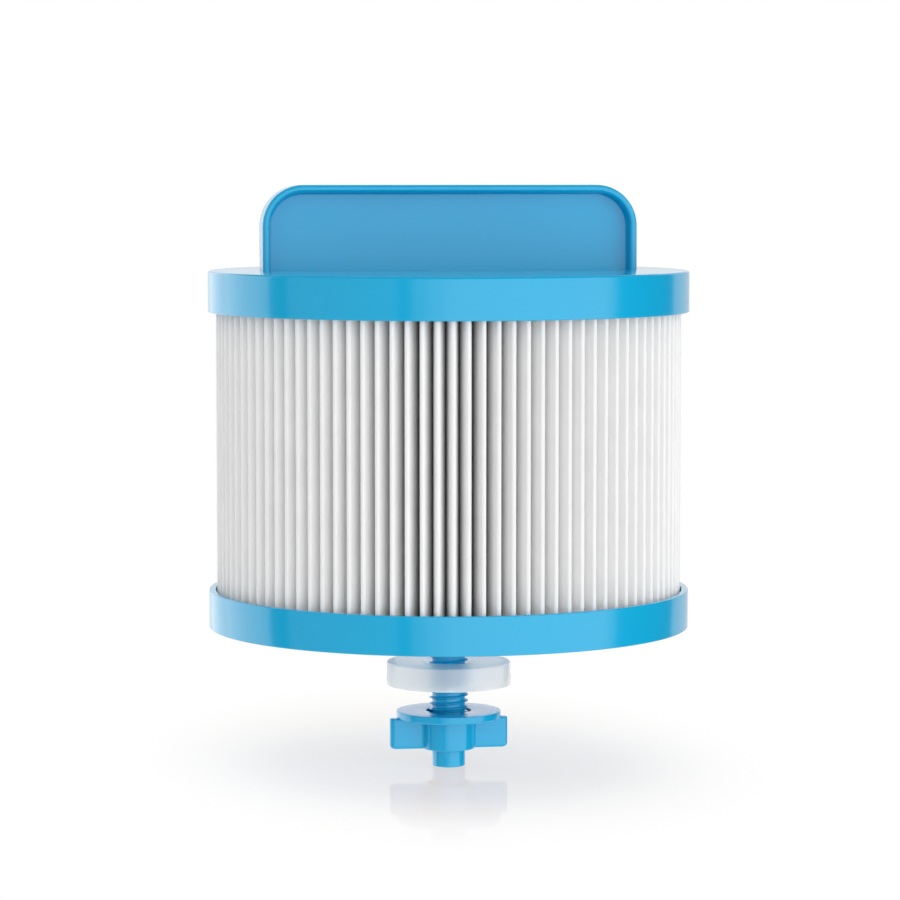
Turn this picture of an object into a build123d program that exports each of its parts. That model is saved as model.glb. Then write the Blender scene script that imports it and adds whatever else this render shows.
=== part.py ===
from build123d import *

import os
from math import acos, atan2, cos, hypot, pi, sin

# Gravity water filter element: a ring of pleated media between two moulded end caps, with a carrying
# tab on top and, below, a hollow threaded stem that holds a seal washer, a flat washer and a wing nut.
# Millimetres, +Z up. The origin is where the stem leaves the underside of the bottom cap.

# Filter body
CAP_DIAMETER = 122.0
BODY_HEIGHT = 90.4
CAP_WALL = 1.7

# Top cap
TOP_CAP_HEIGHT = 10.4
TOP_PLATE = 2.2
TOP_BEVEL = 0.8

# Carrying tab on the top cap
TAB_WIDTH = 95.4
TAB_HEIGHT = 21.6
TAB_THICKNESS = 10.0
TAB_CORNER_RADIUS = 10.4
TAB_RIM = 2.0
TAB_RIM_BEVEL = 0.8
TAB_WEB = 2.4

# Bottom cap
BOTTOM_CAP_HEIGHT = 9.6
BOTTOM_PLATE = 2.4
BOTTOM_BEVEL = 0.4

# Hollow stem, measured down from the underside of the bottom cap
STEM_DIAMETER = 10.0
SHANK_LENGTH = 6.4
RELIEF_DIAMETER = 8.4
RELIEF_LENGTH = 1.2
THREAD_LENGTH = 23.4
SPIGOT_DIAMETER = 8.5
SPIGOT_LENGTH = 5.4
SPIGOT_BEVEL = 0.4
OUTLET_BORE = 6.0

# Pleated media: a sheet creased sharp, with the flats that round it on the outside of each fold
PLEAT_COUNT = 100
PLEAT_DEPTH = 9.0
MEDIA_THICKNESS = 0.6
CREST_FLAT_COUNT = 4
VALLEY_FLAT_COUNT = 2
PLEAT_CLEARANCE = 0.35

# Slotted support tube inside the pleats
CORE_WALL = 1.6
CORE_CLEARANCE = 0.35
SLOT_WIDTH = 14.0
SLOT_HEIGHT = 70.0
SLOT_COUNT = 6

# Sealing compound that closes the ends of the pleats
POTTING_DEPTH = 3.0
POTTING_CLEARANCE = 0.1

# Seal washer, shown part-way down the stem
SEAL_DIAMETER = 31.6
SEAL_THICKNESS = 6.0
SEAL_COUNTERSINK = 1.5
SEAL_CLEARANCE = 0.3
SEAL_DROP = 9.4

# Flat washer that lies on the wing nut
CLAMP_DIAMETER = 26.7
CLAMP_THICKNESS = 1.9
CLAMP_CLEARANCE = 0.75
CLAMP_GAP = 6.7

# Wing nut
HUB_DIAMETER = 13.6
HUB_HEIGHT = 7.9
WING_SPAN = 30.4
WING_HEIGHT = 7.8
WING_THICKNESS = 3.0
WING_END_RADIUS = 1.3
WING_CORNER_RADIUS = 1.0
WING_ROOT_FILLET = 1.4
NUT_CLEARANCE = 0.3

# Radii and heights that follow from the sizes above
cap_radius = CAP_DIAMETER / 2
cap_inner_radius = cap_radius - CAP_WALL
crest_radius = cap_inner_radius - PLEAT_CLEARANCE
core_outer_radius = crest_radius - PLEAT_DEPTH - CORE_CLEARANCE
core_inner_radius = core_outer_radius - CORE_WALL
lid_underside = BODY_HEIGHT - TOP_PLATE
media_bottom = BOTTOM_PLATE + POTTING_DEPTH
media_top = lid_underside - POTTING_DEPTH
stem_radius = STEM_DIAMETER / 2
spigot_radius = SPIGOT_DIAMETER / 2
thread_top = -SHANK_LENGTH - RELIEF_LENGTH
thread_end = thread_top - THREAD_LENGTH
stem_end = thread_end - SPIGOT_LENGTH
seal_top = -SEAL_DROP
seal_bottom = seal_top - SEAL_THICKNESS
clamp_top = seal_bottom - CLAMP_GAP
nut_top = clamp_top - CLAMP_THICKNESS


def turned(*corners):
    """Solid of revolution about Z, from the corners of its half section as (radius, height)."""
    section = make_face(Plane.XZ * Polyline(*corners, close=True))
    return revolve(section, Axis.Z)


def tab_outline(inset):
    """Front outline of the tab on the lid, moved in from its free edges by inset."""
    width = TAB_WIDTH - 2 * inset
    height = TAB_HEIGHT - inset
    outline = Rectangle(width, height, align=(Align.CENTER, Align.MIN))
    top_corners = outline.vertices().group_by(Axis.Y)[-1]
    return fillet(top_corners, TAB_CORNER_RADIUS - inset)


def carrying_tab():
    """Flat web with a raised, bevelled rim along its two sides and its top."""
    band = tab_outline(0) - tab_outline(TAB_RIM)
    rim = extrude(band, TAB_THICKNESS / 2, both=True)
    face_edges = rim.faces().filter_by(Axis.Z).edges()
    free_edges = face_edges.filter_by(lambda edge: edge.center().Y > 0)
    rim = chamfer(free_edges, TAB_RIM_BEVEL)
    web = extrude(tab_outline(TAB_RIM / 2), TAB_WEB / 2, both=True)
    return Plane.XZ * (rim + web)


def top_cap():
    """Lid with a skirt and the carrying tab, moulded in one."""
    skirt_end = BODY_HEIGHT - TOP_CAP_HEIGHT
    lid = turned(
        (0, BODY_HEIGHT),
        (cap_radius - TOP_BEVEL, BODY_HEIGHT),
        (cap_radius, BODY_HEIGHT - TOP_BEVEL),
        (cap_radius, skirt_end),
        (cap_inner_radius, skirt_end),
        (cap_inner_radius, lid_underside),
        (0, lid_underside),
    )
    return lid + Pos(0, 0, BODY_HEIGHT) * carrying_tab()


def bottom_cap():
    """Dish with a rim and the hollow outlet stem, moulded in one."""
    relief_radius = RELIEF_DIAMETER / 2
    bore_radius = OUTLET_BORE / 2
    lead_in = stem_radius - spigot_radius
    return turned(
        (bore_radius, BOTTOM_PLATE),
        (cap_inner_radius, BOTTOM_PLATE),
        (cap_inner_radius, BOTTOM_CAP_HEIGHT),
        (cap_radius, BOTTOM_CAP_HEIGHT),
        (cap_radius, BOTTOM_BEVEL),
        (cap_radius - BOTTOM_BEVEL, 0),
        (stem_radius, 0),
        (stem_radius, -SHANK_LENGTH),
        (relief_radius, -SHANK_LENGTH),
        (relief_radius, thread_top),
        (stem_radius, thread_top),
        (stem_radius, thread_end + lead_in),
        (spigot_radius, thread_end),
        (spigot_radius, stem_end + SPIGOT_BEVEL),
        (spigot_radius - SPIGOT_BEVEL, stem_end),
        (bore_radius, stem_end),
    )


def polar(radius, angle):
    """Point at a radius and an angle in radians, seen from above."""
    return Vector(radius * cos(angle), radius * sin(angle))


def fold(centre, radius, start, end, flats):
    """Points round one fold of the sheet, from a start angle to an end angle. A crease has no flats."""
    turn = (end - start) / max(flats, 1)
    return [centre + polar(radius, start + turn * step) for step in range(flats + 1)]


def folded_outline(shift, crest_flats, valley_flats):
    """One face of the folded sheet in plan, moved outwards by shift from the middle of the sheet.

    The folds round the crests and the valleys are joined by the straight flanks that touch both.
    """
    fold_radius = MEDIA_THICKNESS / 2
    crest_centre = crest_radius - MEDIA_THICKNESS
    valley_centre = crest_radius - PLEAT_DEPTH + MEDIA_THICKNESS
    pitch = 2 * pi / PLEAT_COUNT
    across = valley_centre * cos(pitch / 2) - crest_centre
    along = valley_centre * sin(pitch / 2)
    lean = atan2(along, across) - acos(2 * fold_radius / hypot(across, along))
    points = []
    for pleat in range(PLEAT_COUNT):
        crest = pleat * pitch
        valley = crest + pitch / 2
        centre = polar(crest_centre, crest)
        points += fold(centre, fold_radius + shift, crest - lean, crest + lean, crest_flats)
        centre = polar(valley_centre, valley)
        following = crest + pitch
        points += fold(centre, fold_radius - shift, crest + lean + pi, following - lean + pi, valley_flats)
    return Polyline(*points, close=True)


def pleated_media():
    """One sheet folded into pleats and closed into a ring."""
    outer_face = folded_outline(MEDIA_THICKNESS / 2, CREST_FLAT_COUNT, 0)
    inner_face = folded_outline(-MEDIA_THICKNESS / 2, 0, VALLEY_FLAT_COUNT)
    plan = make_face(outer_face) - make_face(inner_face)
    return Pos(0, 0, media_bottom) * extrude(plan, media_top - media_bottom)


def core_tube():
    """Support tube with a ring of tall slots that let the clean water in."""
    tube = turned(
        (core_inner_radius, BOTTOM_PLATE),
        (core_outer_radius, BOTTOM_PLATE),
        (core_outer_radius, lid_underside),
        (core_inner_radius, lid_underside),
    )
    slot = Box(core_inner_radius, SLOT_WIDTH, SLOT_HEIGHT)
    middle = (media_bottom + media_top) / 2
    return tube - Pos(0, 0, middle) * PolarLocations(core_outer_radius, SLOT_COUNT) * slot


def potting(bottom):
    """Ring of sealing compound between the support tube and a cap's wall."""
    inner_radius = core_outer_radius + POTTING_CLEARANCE
    outer_radius = cap_inner_radius - POTTING_CLEARANCE
    return turned(
        (inner_radius, bottom),
        (outer_radius, bottom),
        (outer_radius, bottom + POTTING_DEPTH),
        (inner_radius, bottom + POTTING_DEPTH),
    )


def seal_washer():
    """Thick silicone washer whose bore widens to its upper face."""
    bore_radius = stem_radius + SEAL_CLEARANCE
    mouth_radius = bore_radius + SEAL_COUNTERSINK
    seal_radius = SEAL_DIAMETER / 2
    return turned(
        (mouth_radius, seal_top),
        (seal_radius, seal_top),
        (seal_radius, seal_bottom),
        (bore_radius, seal_bottom),
        (bore_radius, seal_top - SEAL_COUNTERSINK),
    )


def clamp_washer():
    """Flat washer that spreads the nut's load."""
    hole_radius = stem_radius + CLAMP_CLEARANCE
    clamp_radius = CLAMP_DIAMETER / 2
    return turned(
        (hole_radius, nut_top),
        (clamp_radius, nut_top),
        (clamp_radius, clamp_top),
        (hole_radius, clamp_top),
    )


def wing_nut():
    """Round hub with two flat wings that run into it through fillets."""
    hub_radius = HUB_DIAMETER / 2
    plan = Circle(hub_radius) + RectangleRounded(WING_SPAN, WING_THICKNESS, WING_END_RADIUS)
    roots = plan.vertices().sort_by_distance((0, 0, 0))[:4]
    wings = extrude(fillet(roots, WING_ROOT_FILLET), -WING_HEIGHT)
    front = Rectangle(WING_SPAN, WING_HEIGHT, align=(Align.CENTER, Align.MAX))
    lower_corners = front.vertices().group_by(Axis.Y)[0]
    front = fillet(lower_corners, WING_CORNER_RADIUS)
    wings = wings & (Plane.XZ * extrude(front, HUB_DIAMETER, both=True))
    hub = extrude(Circle(hub_radius), -HUB_HEIGHT)
    bore = Cylinder(stem_radius + NUT_CLEARANCE, 2 * HUB_HEIGHT)
    return Pos(0, 0, nut_top) * (hub + wings - bore)


os.makedirs("parts", exist_ok=True)
export_step(top_cap(), "parts/top_cap.step")
export_step(bottom_cap(), "parts/bottom_cap.step")
export_step(pleated_media(), "parts/pleated_media.step")
export_step(core_tube(), "parts/core_tube.step")
export_step(potting(media_top), "parts/top_potting.step")
export_step(potting(BOTTOM_PLATE), "parts/bottom_potting.step")
export_step(seal_washer(), "parts/seal_washer.step")
export_step(clamp_washer(), "parts/clamp_washer.step")
export_step(wing_nut(), "parts/wing_nut.step")
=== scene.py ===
"""Gravity water filter element, dressed for the photograph. Metres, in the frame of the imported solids."""

import math

import bmesh
import bpy
from mathutils import Matrix, Vector


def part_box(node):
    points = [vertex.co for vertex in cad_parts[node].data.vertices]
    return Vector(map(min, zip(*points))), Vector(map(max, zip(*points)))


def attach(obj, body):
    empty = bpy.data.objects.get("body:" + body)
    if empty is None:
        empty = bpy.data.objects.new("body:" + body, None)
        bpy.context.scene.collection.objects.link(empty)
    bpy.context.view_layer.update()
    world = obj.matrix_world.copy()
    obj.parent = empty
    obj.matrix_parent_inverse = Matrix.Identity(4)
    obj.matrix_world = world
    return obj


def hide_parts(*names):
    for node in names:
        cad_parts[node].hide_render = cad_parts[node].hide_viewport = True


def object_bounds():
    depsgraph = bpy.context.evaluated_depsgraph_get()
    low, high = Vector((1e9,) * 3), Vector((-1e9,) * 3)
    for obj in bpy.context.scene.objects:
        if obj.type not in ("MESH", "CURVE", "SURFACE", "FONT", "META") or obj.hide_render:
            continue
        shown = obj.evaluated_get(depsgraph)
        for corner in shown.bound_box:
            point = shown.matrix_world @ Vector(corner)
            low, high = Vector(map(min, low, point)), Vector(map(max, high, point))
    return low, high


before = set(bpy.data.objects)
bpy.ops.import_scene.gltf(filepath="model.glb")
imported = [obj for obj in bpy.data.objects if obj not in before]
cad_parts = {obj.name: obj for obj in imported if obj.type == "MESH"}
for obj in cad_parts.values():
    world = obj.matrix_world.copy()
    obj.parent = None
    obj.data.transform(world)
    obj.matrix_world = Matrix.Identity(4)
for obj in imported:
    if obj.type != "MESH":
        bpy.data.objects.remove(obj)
cad_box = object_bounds()

MM = 0.001

# Edge roundings of the mouldings and washers
LID_EDGE = 0.6 * MM
CAP_EDGE = 0.25 * MM
SMALL_EDGE = 0.4 * MM
FINE_EDGE = 0.2 * MM
SHARP_ANGLE = math.radians(38)

# Steps in a rounding, in the larger arcs and round a turned piece
ROUNDING_STEPS = 6
ROOT_STEPS = 12
CORNER_STEPS = 24
TURN_STEPS = 160

# Points closer than this are one point, and a point this near the axis is on it
MERGE_DISTANCE = 1e-7
AXIS_DISTANCE = 1e-9

# Caps
CAP_WALL = 1.7 * MM
LID_PLATE = 2.2 * MM
LID_HEIGHT = 10.4 * MM
DISH_PLATE = 2.4 * MM
DISH_HEIGHT = 9.6 * MM

# Carrying tab. Its rim narrows from the web out to the lip, which is beaded.
TAB_WIDTH = 95.4 * MM
TAB_DEPTH = 10.0 * MM
TAB_CORNER = 10.4 * MM
TAB_RIM = 2.2 * MM
TAB_LIP = 1.75 * MM
TAB_BEAD = 0.8 * MM
TAB_FILLET = 0.3 * MM
TAB_WEB = 2.4 * MM
TAB_SINK = 0.6 * MM

# Outlet stem, down from the cap's underside at height 0
STEM_RADIUS = 5.0 * MM
SHANK_LENGTH = 6.4 * MM
SPIGOT_RADIUS = 4.25 * MM
OUTLET_RADIUS = 3.0 * MM
LEAD_IN = STEM_RADIUS - SPIGOT_RADIUS

# Thread on the stem: its root and its flank are shares of half a pitch, and its rows are counted per pitch
THREAD_START = -7.6 * MM
THREAD_END = -31.0 * MM
THREAD_PITCH = 1.5 * MM
THREAD_DEPTH = 0.8 * MM
THREAD_ROOT = 0.48
THREAD_FLANK = 0.4
THREAD_ROWS = 18

# Pleated media
PLEAT_COUNT = 100
PLEAT_DEPTH = 9.0 * MM
SHEET_THICKNESS = 0.6 * MM
CREST_FOLD = 0.6 * MM
CREST_STEPS = 12
VALLEY_STEPS = 4

# Painted shade on the sheet, as its grey from the bottom of a fold, at 0, to its crest, at 1: dark deep down
# in the folds, and a little darker again right at the crest
FOLD_PAINTED_SHADE = [(0.05, 0.28), (0.25, 0.7), (0.5, 0.87), (0.8, 1.0), (0.93, 0.98), (1.0, 0.92)]

# Washers and wing nut
SEAL_MOUTH = 6.8 * MM
SEAL_BORE = 5.3 * MM
CLAMP_HOLE = 5.75 * MM
HUB_RADIUS = 6.8 * MM
NUT_BORE = 5.3 * MM
WING_HEIGHT = 7.8 * MM
WING_THICKNESS = 3.0 * MM
WING_ROOT = 0.8 * MM
WING_END = 1.3 * MM
WING_CORNER = 1.0 * MM

# Two shades of each material, and the range that most of a noise lies in
BLUE = ((0.004, 0.385, 0.675), (0.006, 0.405, 0.695))
SHEET_WHITE = ((0.91, 0.91, 0.91), (0.94, 0.94, 0.94))
MILKY_WHITE = ((0.985, 0.975, 0.98), (0.99, 0.985, 0.99))
CORE_WHITE = ((0.78, 0.78, 0.76), (0.84, 0.84, 0.82))
COMPOUND_CREAM = ((0.72, 0.71, 0.66), (0.78, 0.77, 0.72))
NOISE_RANGE = (0.3, 0.7)

# Camera, from the photograph's ellipses: distance from the stem's axis, height, turn, tilt, yaw and lens
CAMERA_DISTANCE = 0.8905
CAMERA_HEIGHT = 0.1153
CAMERA_AZIMUTH = math.radians(-8.25)
CAMERA_TILT = math.radians(4.536)
CAMERA_YAW = math.radians(-0.023)
CAMERA_LENS = 140.3
CAMERA_SENSOR = 36
CAMERA_CLIP = (0.05, 50)

# Studio round the object: lamps, and screens behind them, each from one azimuth to another, in degrees from
# the camera's side with positive to the right, and then a lamp's brightness, where 1 is white, or a screen's
# shade. The rise is the angle from level to the upper edge of both.
STUDIO_RADIUS = 1.3
STUDIO_RISE = math.radians(27)
LAMPS = {
    "left_back": (-158, -92, 0.5),
    "left_side": (-130, -92, 0.4),
    "left_front": (-80, -23, 0.6),
    "right_front": (-2, 78, 0.455),
    "right_wide": (-10, 82, 0.455),
}
SCREENS = {
    "left_flag": (-92, -17, 0.015),
    "right_flag": (85, 132, 0.015),
    "right_screen": (132, 166, 0.8),
}
SCREEN_RADIUS = 1.3 * STUDIO_RADIUS
SCREEN_STEPS = 24
SCREEN_MOTTLE = (0.9, 1.1)
AMBIENT = 0.87
CEILING_HEIGHT = 0.8
CEILING_STEPS = 64
CEILING_BLACK = ((0.01, 0.01, 0.01), (0.02, 0.02, 0.02))

# Floor: paint, glow and mirror are white together where no shadow falls. The paint is cool and the glow warm,
# so that the blue that the caps throw down doesn't tint the shadow.
FLOOR_PAINT = ((0.424, 0.59, 0.845), (0.434, 0.6, 0.855))
FLOOR_GLOW = (0.776, 0.535, 0.187)
FLOOR_MIRROR = 0.25
FLOOR_SHEEN = (0.44, 0.69, 1.0)
FLOOR_RADIUS = 6
FLOOR_STEPS = 96

# The floor's middle lies behind the stem by the shift. It fades into the background between two distances
# from there, which are measured with each direction scaled.
FLOOR_SHIFT = 15 * MM
FLOOR_FADE = (0.035, 0.085)
FLOOR_SCALE = (1, 0.62, 0)


def arc(centre, start, sweep, steps):
    """Points from start round a centre, through a sweep in radians."""
    turns = [Matrix.Rotation(sweep * step / steps, 2) for step in range(steps + 1)]
    return [centre + turn @ (start - centre) for turn in turns]


def rounded(corners):
    """Section with each (radius, height, rounding) corner turned into an arc."""
    section = []
    for index, (radius, height, rounding) in enumerate(corners):
        here = Vector((radius, height))
        if not rounding:
            section.append(here)
            continue
        before = (Vector(corners[index - 1][:2]) - here).normalized()
        after = (Vector(corners[(index + 1) % len(corners)][:2]) - here).normalized()
        half = before.angle(after) / 2
        centre = here + (before + after).normalized() * rounding / math.sin(half)
        start = here + before * rounding / math.tan(half)
        end = here + after * rounding / math.tan(half)
        sweep = (start - centre).angle_signed(end - centre)
        section += arc(centre, start, -sweep, ROUNDING_STEPS)
    return section


def link(thing):
    """Puts an object in the scene."""
    bpy.context.collection.objects.link(thing)
    return thing


def shaded(thing):
    """Smooth shading that stays crisp at the edges."""
    thing.data.shade_smooth()
    thing.data.set_sharp_from_angle(angle=SHARP_ANGLE)
    return thing


def paint(thing, look):
    """Gives an object one material."""
    thing.data.materials.clear()
    thing.data.materials.append(look)


def new_object(name, mesh_data):
    """Object with smooth faces and crisp edges, from a bmesh."""
    bmesh.ops.remove_doubles(mesh_data, verts=mesh_data.verts, dist=MERGE_DISTANCE)
    bmesh.ops.recalc_face_normals(mesh_data, faces=mesh_data.faces)
    mesh = bpy.data.meshes.new(name)
    mesh_data.to_mesh(mesh)
    mesh_data.free()
    return shaded(link(bpy.data.objects.new(name, mesh)))


def level_ring(mesh_data, plan, height):
    """Vertices of a plan at one height."""
    return [mesh_data.verts.new((point.x, point.y, height)) for point in plan]


def skin(mesh_data, rings, closed):
    """Faces between neighbouring rings of vertices. A ring of one vertex is a point on the axis."""
    pairs = list(zip(rings, rings[1:]))
    if closed:
        pairs.append((rings[-1], rings[0]))
    for lower, upper in pairs:
        count = max(len(lower), len(upper))
        for step in range(count):
            following = (step + 1) % count
            corners = [lower[step % len(lower)], lower[following % len(lower)]]
            corners += [upper[following % len(upper)], upper[step % len(upper)]]
            mesh_data.faces.new(list(dict.fromkeys(corners)))


def strip(mesh_data, rows):
    """Faces between neighbouring open rows of vertices."""
    for one, two in zip(rows, rows[1:]):
        for low in range(len(one) - 1):
            mesh_data.faces.new((one[low], one[low + 1], two[low + 1], two[low]))


def turned(name, section, closed=True, radius_at=None):
    """Section of (radius, height) points turned about Z. radius_at may change the radius round the turn."""
    mesh_data = bmesh.new()
    rings = []
    for radius, height in section:
        if radius < AXIS_DISTANCE:
            rings.append([mesh_data.verts.new((0, 0, height))])
            continue
        plan = []
        for step in range(TURN_STEPS):
            angle = 2 * math.pi * step / TURN_STEPS
            reach = radius_at(radius, height, angle) if radius_at else radius
            plan.append(Vector((reach * math.cos(angle), reach * math.sin(angle))))
        rings.append(level_ring(mesh_data, plan, height))
    skin(mesh_data, rings, closed)
    return new_object(name, mesh_data)


def united(base, *others):
    """Base with the other closed meshes fused to it."""
    for other in others:
        union = base.modifiers.new("union", "BOOLEAN")
        union.operation = "UNION"
        union.solver = "EXACT"
        union.object = other
    graph = bpy.context.evaluated_depsgraph_get()
    mesh = bpy.data.meshes.new_from_object(base.evaluated_get(graph))
    base.modifiers.clear()
    base.data = mesh
    for other in others:
        bpy.data.objects.remove(other)
    return shaded(base)


def tab_section():
    """Section across the tab's rim as (inset from the free edge, depth), from front web to back web."""
    front = [
        (TAB_RIM + 2 * TAB_FILLET, -TAB_WEB / 2, 0),
        (TAB_RIM, -TAB_WEB / 2, TAB_FILLET),
        (TAB_LIP, -TAB_DEPTH / 2, TAB_BEAD),
        (0, -TAB_DEPTH / 2, TAB_BEAD),
    ]
    back = [(inset, -depth, rounding) for inset, depth, rounding in reversed(front)]
    return rounded(front + back)


def tab_path(foot, top):
    """Points and inward directions along the tab's free edge, up one side, over the top and down again."""
    half = TAB_WIDTH / 2
    path = [(Vector((-half, foot)), Vector((1, 0)))]
    for side, first in ((-1, math.pi), (1, math.pi / 2)):
        centre = Vector((side * (half - TAB_CORNER), top - TAB_CORNER))
        for step in range(CORNER_STEPS + 1):
            angle = first - math.pi / 2 * step / CORNER_STEPS
            away = Vector((math.cos(angle), math.sin(angle)))
            path.append((centre + TAB_CORNER * away, -away))
    path.append((Vector((half, foot)), Vector((-1, 0))))
    return path


def carrying_tab(lid_top, tab_top):
    """Closed mesh of the tab: a thin web inside a deep rounded rim, sunk a little into the lid."""
    mesh_data = bmesh.new()
    ribs = []
    for point, inward in tab_path(lid_top - TAB_SINK, tab_top):
        rib = []
        for inset, depth in tab_section():
            place = point + inset * inward
            rib.append(mesh_data.verts.new((place.x, depth, place.y)))
        ribs.append(rib)
    strip(mesh_data, ribs)
    mesh_data.faces.new([rib[0] for rib in ribs])
    mesh_data.faces.new([rib[-1] for rib in ribs])
    mesh_data.faces.new(ribs[0] + ribs[-1][::-1])
    return new_object("tab", mesh_data)


def top_cap():
    """Lid with its skirt, fused with the carrying tab."""
    low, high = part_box("top_cap")
    radius = high.x
    lid_top = low.z + LID_HEIGHT
    section = rounded([
        (0, lid_top, 0),
        (radius, lid_top, LID_EDGE),
        (radius, low.z, CAP_EDGE),
        (radius - CAP_WALL, low.z, CAP_EDGE),
        (radius - CAP_WALL, lid_top - LID_PLATE, 0),
        (0, lid_top - LID_PLATE, 0),
    ])
    lid = turned("top_cap_moulding", section, closed=False)
    return united(lid, carrying_tab(lid_top, high.z))


def thread_radius(radius, height, angle):
    """Right-hand thread cut into the stem between its relief and its plain end."""
    on_thread = THREAD_END + LEAD_IN / 2 < height < THREAD_START
    if not on_thread or radius < SPIGOT_RADIUS:
        return radius
    phase = (height / THREAD_PITCH - angle / (2 * math.pi)) % 1
    rise = min(max((abs(2 * phase - 1) - THREAD_ROOT) / THREAD_FLANK, 0), 1)
    return min(radius, STEM_RADIUS - THREAD_DEPTH * (1 - rise))


def bottom_cap():
    """Dish with its rim and the hollow outlet stem, turned in one piece."""
    low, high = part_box("bottom_cap")
    radius = high.x
    relief = STEM_RADIUS - THREAD_DEPTH
    thread_top = THREAD_START - THREAD_DEPTH
    above = rounded([
        (OUTLET_RADIUS, DISH_PLATE, 0),
        (radius - CAP_WALL, DISH_PLATE, 0),
        (radius - CAP_WALL, DISH_HEIGHT, CAP_EDGE),
        (radius, DISH_HEIGHT, CAP_EDGE),
        (radius, 0, CAP_EDGE),
        (STEM_RADIUS, 0, SMALL_EDGE),
        (STEM_RADIUS, -SHANK_LENGTH, FINE_EDGE),
        (relief, -SHANK_LENGTH - SMALL_EDGE, 0),
        (relief, THREAD_START, 0),
        (STEM_RADIUS, thread_top, 0),
    ])
    thread_length = thread_top - THREAD_END - LEAD_IN
    rows = round(thread_length / THREAD_PITCH * THREAD_ROWS)
    spacing = thread_length / rows
    thread = [Vector((STEM_RADIUS, thread_top - row * spacing)) for row in range(1, rows + 1)]
    below = rounded([
        (SPIGOT_RADIUS, THREAD_END, 0),
        (SPIGOT_RADIUS, low.z, SMALL_EDGE),
        (OUTLET_RADIUS, low.z, SMALL_EDGE),
        (OUTLET_RADIUS, THREAD_END, 0),
    ])
    return turned("bottom_cap_moulding", above + thread + below, radius_at=thread_radius)


def folded_face(crest_radius, shift):
    """One face of the folded sheet in plan, moved outwards by shift from the middle of the sheet."""
    crest_fold = CREST_FOLD - SHEET_THICKNESS / 2
    valley_fold = SHEET_THICKNESS / 2
    crest_reach = crest_radius - CREST_FOLD
    valley_reach = crest_radius - PLEAT_DEPTH + SHEET_THICKNESS
    pitch = 2 * math.pi / PLEAT_COUNT
    across = valley_reach * math.cos(pitch / 2) - crest_reach
    along = valley_reach * math.sin(pitch / 2)
    # A flank touches its two folds on opposite sides of the line between their centres
    touch = math.acos((crest_fold + valley_fold) / math.hypot(across, along))
    lean = math.atan2(along, across) - touch
    points = []
    for pleat in range(PLEAT_COUNT):
        crest = pleat * pitch
        valley = crest + pitch / 2
        centre = crest_reach * Vector((math.cos(crest), math.sin(crest)))
        start = Vector((math.cos(crest - lean), math.sin(crest - lean)))
        points += arc(centre, centre + (crest_fold + shift) * start, 2 * lean, CREST_STEPS)
        centre = valley_reach * Vector((math.cos(valley), math.sin(valley)))
        start = -Vector((math.cos(crest + lean), math.sin(crest + lean)))
        points += arc(centre, centre + (valley_fold - shift) * start, pitch - 2 * lean, VALLEY_STEPS)
    return points


def pleated_media():
    """One folded sheet, closed into a ring."""
    low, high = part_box("pleated_media")
    half = SHEET_THICKNESS / 2
    mesh_data = bmesh.new()
    rings = []
    for shift, heights in ((half, (low.z, high.z)), (-half, (high.z, low.z))):
        outline = folded_face(high.x, shift)
        rings += [level_ring(mesh_data, outline, height) for height in heights]
    skin(mesh_data, rings, closed=True)
    return new_object("pleated_sheet", mesh_data)


def seal_washer():
    """Thick washer with a countersink round the stem."""
    low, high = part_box("seal_washer")
    sink = SEAL_MOUTH - SEAL_BORE
    section = rounded([
        (SEAL_MOUTH, high.z, FINE_EDGE),
        (high.x, high.z, SMALL_EDGE),
        (high.x, low.z, SMALL_EDGE),
        (SEAL_BORE, low.z, FINE_EDGE),
        (SEAL_BORE, high.z - sink, 0),
    ])
    return turned("silicone_washer", section)


def clamp_washer():
    """Flat washer that lies on the wing nut."""
    low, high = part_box("clamp_washer")
    section = rounded([
        (CLAMP_HOLE, high.z, FINE_EDGE),
        (high.x, high.z, FINE_EDGE),
        (high.x, low.z, SMALL_EDGE),
        (CLAMP_HOLE, low.z, FINE_EDGE),
    ])
    return turned("flat_washer", section)


def wing_plan(side, end_inset, edge_inset):
    """Plan of one wing, which runs into the hub through fillets."""
    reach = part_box("wing_nut")[1].x - end_inset
    half = WING_THICKNESS / 2 - edge_inset
    fillet = WING_ROOT + edge_inset
    fillet_y = half + fillet
    fillet_x = math.sqrt((HUB_RADIUS - edge_inset + fillet) ** 2 - fillet_y**2)
    sweep = math.atan2(fillet_x, fillet_y)
    root = Vector((fillet_x, fillet_y))
    upper = arc(root, root - fillet * root.normalized(), sweep, ROOT_STEPS)
    end_round = WING_END - edge_inset
    end = Vector((reach - end_round, half - end_round))
    upper += arc(end, end + Vector((0, end_round)), -math.pi / 2, ROUNDING_STEPS)
    plan = upper + [Vector((point.x, -point.y)) for point in reversed(upper)]
    return [Vector((side * point.x, point.y)) for point in plan]


def wing(side, top, bottom):
    """One wing as a stack of plans, drawn in at its rounded edges."""
    upper = []
    lower = []
    for step in range(ROUNDING_STEPS + 1):
        turn = math.pi / 2 * step / ROUNDING_STEPS
        shrinking = 1 - math.sin(turn)
        growing = 1 - math.cos(turn)
        upper.append((top - SMALL_EDGE * growing, SMALL_EDGE * shrinking, SMALL_EDGE * shrinking))
        lower.append((bottom + WING_CORNER * shrinking, WING_CORNER * growing, SMALL_EDGE * growing))
    mesh_data = bmesh.new()
    rings = []
    for height, end_inset, edge_inset in upper + lower:
        rings.append(level_ring(mesh_data, wing_plan(side, end_inset, edge_inset), height))
    skin(mesh_data, rings, closed=False)
    mesh_data.faces.new(rings[0])
    mesh_data.faces.new(rings[-1])
    return new_object("wing", mesh_data)


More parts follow.
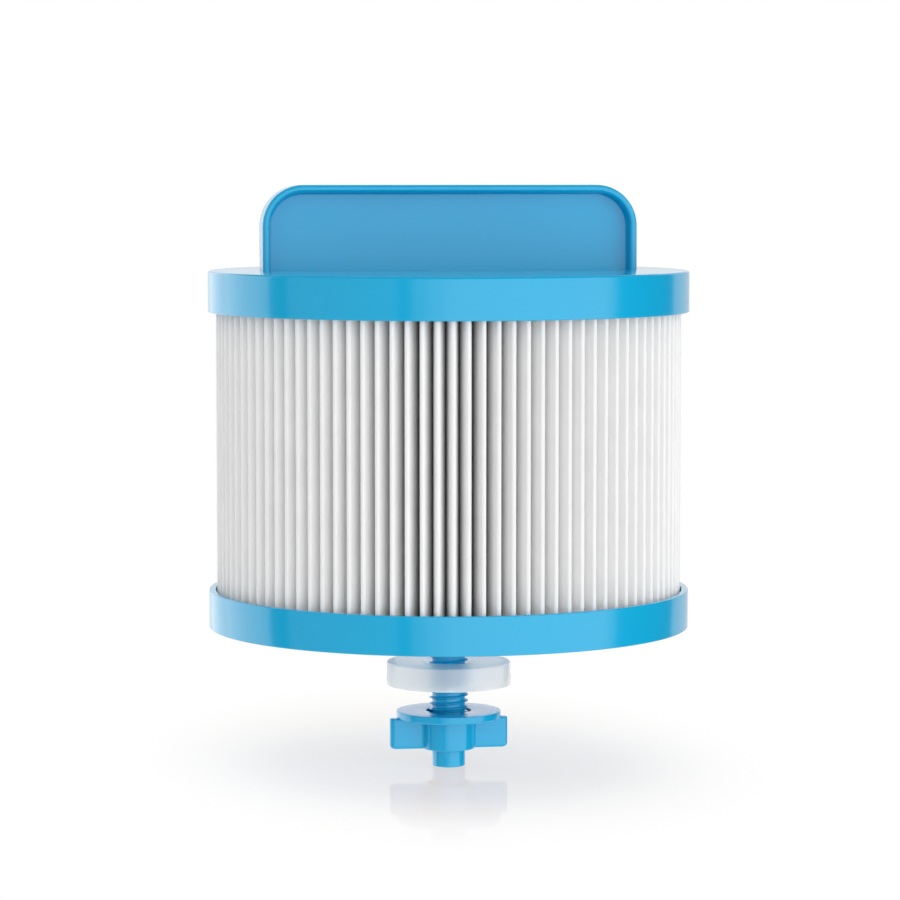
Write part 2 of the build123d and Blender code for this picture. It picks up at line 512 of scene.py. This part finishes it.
def wing_nut():
    """Hub with its bore, fused with two wings."""
    low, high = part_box("wing_nut")
    section = rounded([
        (NUT_BORE, high.z, 0),
        (HUB_RADIUS, high.z, FINE_EDGE),
        (HUB_RADIUS, low.z, SMALL_EDGE),
        (NUT_BORE, low.z, SMALL_EDGE),
    ])
    hub = turned("wing_nut_moulding", section)
    bottom = high.z - WING_HEIGHT
    return united(hub, wing(-1, high.z, bottom), wing(1, high.z, bottom))


def material(name):
    """New node material with its node tree, its shader and the object's own coordinates."""
    made = bpy.data.materials.new(name)
    made.use_nodes = True
    tree = made.node_tree
    place = tree.nodes.new("ShaderNodeTexCoord")
    return made, tree, tree.nodes["Principled BSDF"], place.outputs["Object"]


def noise(tree, place, scale, detail=3.0):
    """Noise over the object, with features about 1 / scale metres across."""
    node = tree.nodes.new("ShaderNodeTexNoise")
    node.inputs["Scale"].default_value = scale
    node.inputs["Detail"].default_value = detail
    tree.links.new(place, node.inputs["Vector"])
    return node.outputs["Fac"]


def remapped(tree, value, source, target=(0, 1), interpolation="LINEAR"):
    """Value from the source range laid out over the target range."""
    node = tree.nodes.new("ShaderNodeMapRange")
    node.interpolation_type = interpolation
    node.inputs["From Min"].default_value = source[0]
    node.inputs["From Max"].default_value = source[1]
    node.inputs["To Min"].default_value = target[0]
    node.inputs["To Max"].default_value = target[1]
    tree.links.new(value, node.inputs["Value"])
    return node.outputs["Result"]


def ramp(tree, value, stops):
    """Colour that runs through stops of (value, colour)."""
    node = tree.nodes.new("ShaderNodeValToRGB")
    elements = node.color_ramp.elements
    while len(elements) < len(stops):
        elements.new(1.0)
    for element, (position, colour) in zip(elements, stops):
        element.position = position
        element.color = (*colour, 1)
    tree.links.new(value, node.inputs["Fac"])
    return node.outputs["Color"]


def mottled(tree, place, shades, scale):
    """Colour that wanders between two shades of one material."""
    return ramp(tree, noise(tree, place, scale), list(zip(NOISE_RANGE, shades)))


def from_axis(tree, place, scale=(1, 1, 0)):
    """Distance from the object's own upright axis, with each direction scaled."""
    level = tree.nodes.new("ShaderNodeVectorMath")
    level.operation = "MULTIPLY"
    level.inputs[1].default_value = scale
    tree.links.new(place, level.inputs[0])
    reach = tree.nodes.new("ShaderNodeVectorMath")
    reach.operation = "LENGTH"
    tree.links.new(level.outputs["Vector"], reach.inputs[0])
    return reach.outputs["Value"]


def multiplied(tree, one, two):
    """Product of two colours."""
    node = tree.nodes.new("ShaderNodeMix")
    node.data_type = "RGBA"
    node.blend_type = "MULTIPLY"
    # Sockets go by number here, because the node has the same names for numbers and for colours
    node.inputs[0].default_value = 1.0
    tree.links.new(one, node.inputs[6])
    tree.links.new(two, node.inputs[7])
    return node.outputs[2]


def larger(tree, one, two):
    """The larger of two values."""
    node = tree.nodes.new("ShaderNodeMath")
    node.operation = "MAXIMUM"
    tree.links.new(one, node.inputs[0])
    tree.links.new(two, node.inputs[1])
    return node.outputs["Value"]


def blended(tree, first, second):
    """Node that blends from a first shader, where its Fac is 0, to a second, where it is 1."""
    node = tree.nodes.new("ShaderNodeMixShader")
    tree.links.new(first, node.inputs[1])
    tree.links.new(second, node.inputs[2])
    return node


def roughened(tree, shader, grain, roughness):
    """Roughness that follows a grain, between two values."""
    tree.links.new(remapped(tree, grain, NOISE_RANGE, roughness), shader.inputs["Roughness"])


def bumped(tree, shader, grain, height):
    """Fine relief of the given height in metres."""
    node = tree.nodes.new("ShaderNodeBump")
    node.inputs["Strength"].default_value = 1.0
    node.inputs["Distance"].default_value = height
    tree.links.new(grain, node.inputs["Height"])
    tree.links.new(node.outputs["Normal"], shader.inputs["Normal"])


def blue_plastic():
    """Glossy moulded blue, with a faint flow of shade and a moulded skin."""
    made, tree, shader, place = material("blue_plastic")
    tree.links.new(mottled(tree, place, BLUE, scale=18), shader.inputs["Base Color"])
    grain = noise(tree, place, scale=900)
    roughened(tree, shader, grain, roughness=(0.21, 0.23))
    bumped(tree, shader, grain, height=0.0005 * MM)
    shader.inputs["IOR"].default_value = 1.5
    shader.inputs["Specular IOR Level"].default_value = 0.2
    shader.inputs["Coat Weight"].default_value = 0.6
    shader.inputs["Coat Roughness"].default_value = 0.12
    return made


def filter_media():
    """White non-woven sheet with fine fibres, with painted shade down in its folds and a little at its
    crests.
    """
    made, tree, shader, place = material("filter_media")
    crest_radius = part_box("pleated_media")[1].x
    depth = remapped(tree, from_axis(tree, place), (crest_radius - PLEAT_DEPTH, crest_radius))
    # Painted shade by depth: the sheet is painted darker towards the bottom of each fold, and a little at the
    # crest
    shade = ramp(tree, depth, [(position, (grey,) * 3) for position, grey in FOLD_PAINTED_SHADE])
    sheet = mottled(tree, place, SHEET_WHITE, scale=120)
    tree.links.new(multiplied(tree, sheet, shade), shader.inputs["Base Color"])
    fibres = noise(tree, place, scale=3500, detail=6)
    roughened(tree, shader, fibres, roughness=(0.75, 0.95))
    bumped(tree, shader, fibres, height=0.01 * MM)
    shader.inputs["Specular IOR Level"].default_value = 0.2
    return made


def silicone():
    """Milky translucent silicone with a smooth skin."""
    made, tree, shader, place = material("silicone")
    tree.links.new(mottled(tree, place, MILKY_WHITE, scale=150), shader.inputs["Base Color"])
    grain = noise(tree, place, scale=1500)
    roughened(tree, shader, grain, roughness=(0.9, 1.0))
    shader.inputs["IOR"].default_value = 1.14
    shader.inputs["Transmission Weight"].default_value = 0.64
    shader.inputs["Coat Weight"].default_value = 0.25
    shader.inputs["Coat Roughness"].default_value = 0.08
    shader.inputs["Coat IOR"].default_value = 1.41
    return made


def matt(name, shades):
    """Matt moulding, cast compound or board with a faint mottle."""
    made, tree, shader, place = material(name)
    tree.links.new(mottled(tree, place, shades, scale=200), shader.inputs["Base Color"])
    grain = noise(tree, place, scale=1200)
    roughened(tree, shader, grain, roughness=(0.55, 0.7))
    bumped(tree, shader, grain, height=0.01 * MM)
    return made


def dress():
    """Builds each piece, and gives it its material and the body that it moves with."""
    blue = blue_plastic()
    pieces = [
        (top_cap(), "top_cap", "element", "blue_plastic", blue),
        (bottom_cap(), "bottom_cap", "element", "blue_plastic", blue),
        (pleated_media(), "pleated_media", "element", "filter_media", filter_media()),
        (seal_washer(), "seal_washer", "seal_washer", "silicone", silicone()),
        (clamp_washer(), "clamp_washer", "clamp_washer", "blue_plastic", blue),
        (wing_nut(), "wing_nut", "wing_nut", "blue_plastic", blue),
    ]
    for piece, node, body, slot, look in pieces:
        paint(piece, look)
        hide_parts(node)
        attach(piece, body)
    paint(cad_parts["core_tube"], matt("white_plastic", CORE_WHITE))
    compound = matt("sealing_compound", COMPOUND_CREAM)
    for node in ("top_potting", "bottom_potting"):
        paint(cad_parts[node], compound)


def seen_background(tree):
    """1 for rays that show the background: camera, mirror-like and see-through ones."""
    path = tree.nodes.new("ShaderNodeLightPath")
    seen = larger(tree, path.outputs["Is Camera Ray"], path.outputs["Is Glossy Ray"])
    return larger(tree, seen, path.outputs["Is Transmission Ray"])


def white_world():
    """White where it is seen, and a softer even light on the object."""
    world = bpy.data.worlds.new("studio")
    bpy.context.scene.world = world
    world.use_nodes = True
    tree = world.node_tree
    shown = tree.nodes["Background"]
    even = tree.nodes.new("ShaderNodeBackground")
    for light, strength in ((shown, 1.0), (even, AMBIENT)):
        light.inputs["Color"].default_value = (1, 1, 1, 1)
        light.inputs["Strength"].default_value = strength
    choice = blended(tree, even.outputs["Background"], shown.outputs["Background"])
    tree.links.new(seen_background(tree), choice.inputs["Fac"])
    tree.links.new(choice.outputs["Shader"], tree.nodes["World Output"].inputs["Surface"])


def pale_floor():
    """Painted, glowing and slightly polished surface that fades into the white background."""
    made, tree, shader, place = material("pale_floor")
    tree.links.new(mottled(tree, place, FLOOR_PAINT, scale=40), shader.inputs["Base Color"])
    shader.inputs["Specular IOR Level"].default_value = 0.0
    shader.inputs["Emission Color"].default_value = (*FLOOR_GLOW, 1)
    shader.inputs["Emission Strength"].default_value = 1.0
    mirror = tree.nodes.new("ShaderNodeBsdfGlossy")
    mirror.inputs["Color"].default_value = (*FLOOR_SHEEN, 1)
    mirror.inputs["Roughness"].default_value = 0.05
    polished = blended(tree, shader.outputs["BSDF"], mirror.outputs["BSDF"])
    polished.inputs["Fac"].default_value = FLOOR_MIRROR
    background = tree.nodes.new("ShaderNodeEmission")
    background.inputs["Strength"].default_value = 1.0
    faded = blended(tree, polished.outputs["Shader"], background.outputs["Emission"])
    distance = from_axis(tree, place, FLOOR_SCALE)
    fade = remapped(tree, distance, FLOOR_FADE, interpolation="SMOOTHSTEP")
    tree.links.new(fade, faded.inputs["Fac"])
    tree.links.new(faded.outputs["Shader"], tree.nodes["Material Output"].inputs["Surface"])
    return made


def outward(azimuth):
    """Level direction from the object, at degrees from the camera's side."""
    turn = CAMERA_AZIMUTH + math.radians(azimuth)
    return Vector((math.sin(turn), -math.cos(turn), 0))


def floor():
    """Floor at the stem's end, which takes the soft shadow and a faint mirror image."""
    mesh_data = bmesh.new()
    bmesh.ops.create_circle(mesh_data, cap_ends=True, segments=FLOOR_STEPS, radius=FLOOR_RADIUS)
    ground = new_object("floor", mesh_data)
    ground.location = Vector((0, 0, cad_box[0].z)) - FLOOR_SHIFT * outward(0)
    paint(ground, pale_floor())
    ground.visible_diffuse = False
    ground.visible_glossy = False
    ground.visible_shadow = False


def lamp(name, start, end, brightness):
    """Soft upright lamp that fills the view from the object between two azimuths."""
    data = bpy.data.lights.new(name, "AREA")
    data.shape = "RECTANGLE"
    data.size = 2 * STUDIO_RADIUS * math.tan(math.radians(end - start) / 2)
    data.size_y = 2 * STUDIO_RADIUS * math.tan(STUDIO_RISE)
    data.energy = math.pi * data.size * data.size_y * brightness
    soft = link(bpy.data.objects.new(name, data))
    away = outward((start + end) / 2)
    middle = (cad_box[0] + cad_box[1]) / 2
    soft.location = middle + STUDIO_RADIUS * away
    soft.rotation_euler = (-away).to_track_quat("-Z", "Y").to_euler()


def screen(name, start, end, shade):
    """Curved board behind the lamps, which the camera doesn't see."""
    rise = SCREEN_RADIUS * math.tan(STUDIO_RISE)
    mesh_data = bmesh.new()
    posts = []
    for step in range(SCREEN_STEPS + 1):
        place = SCREEN_RADIUS * outward(start + (end - start) * step / SCREEN_STEPS)
        posts.append([mesh_data.verts.new((place.x, place.y, height)) for height in (-rise, rise)])
    strip(mesh_data, posts)
    board = new_object(name, mesh_data)
    board.visible_camera = False
    paint(board, matt(name, [(share * shade,) * 3 for share in SCREEN_MOTTLE]))


def ceiling():
    """Dark board above the studio, which shows only in the object's gloss."""
    mesh_data = bmesh.new()
    bmesh.ops.create_circle(mesh_data, cap_ends=True, segments=CEILING_STEPS, radius=STUDIO_RADIUS)
    board = new_object("ceiling", mesh_data)
    board.location.z = CEILING_HEIGHT
    paint(board, matt("dark_ceiling", CEILING_BLACK))
    board.visible_camera = False
    board.visible_diffuse = False
    board.visible_transmission = False
    board.visible_shadow = False


def camera():
    """Camera at the photograph's place, with a long lens."""
    data = bpy.data.cameras.new("photo_camera")
    data.lens = CAMERA_LENS
    data.sensor_width = CAMERA_SENSOR
    data.clip_start, data.clip_end = CAMERA_CLIP
    viewer = link(bpy.data.objects.new("photo_camera", data))
    viewer.location = CAMERA_DISTANCE * outward(0) + Vector((0, 0, CAMERA_HEIGHT))
    viewer.rotation_euler = (math.pi / 2 - CAMERA_TILT, 0, CAMERA_AZIMUTH + CAMERA_YAW)
    bpy.context.scene.camera = viewer


dress()
white_world()
floor()
for lamp_name, lamp_values in LAMPS.items():
    lamp(lamp_name, *lamp_values)
for screen_name, screen_values in SCREENS.items():
    screen(screen_name, *screen_values)
ceiling()
camera()
bpy.context.scene.view_settings.view_transform = "Standard"

bpy.context.view_layer.update()
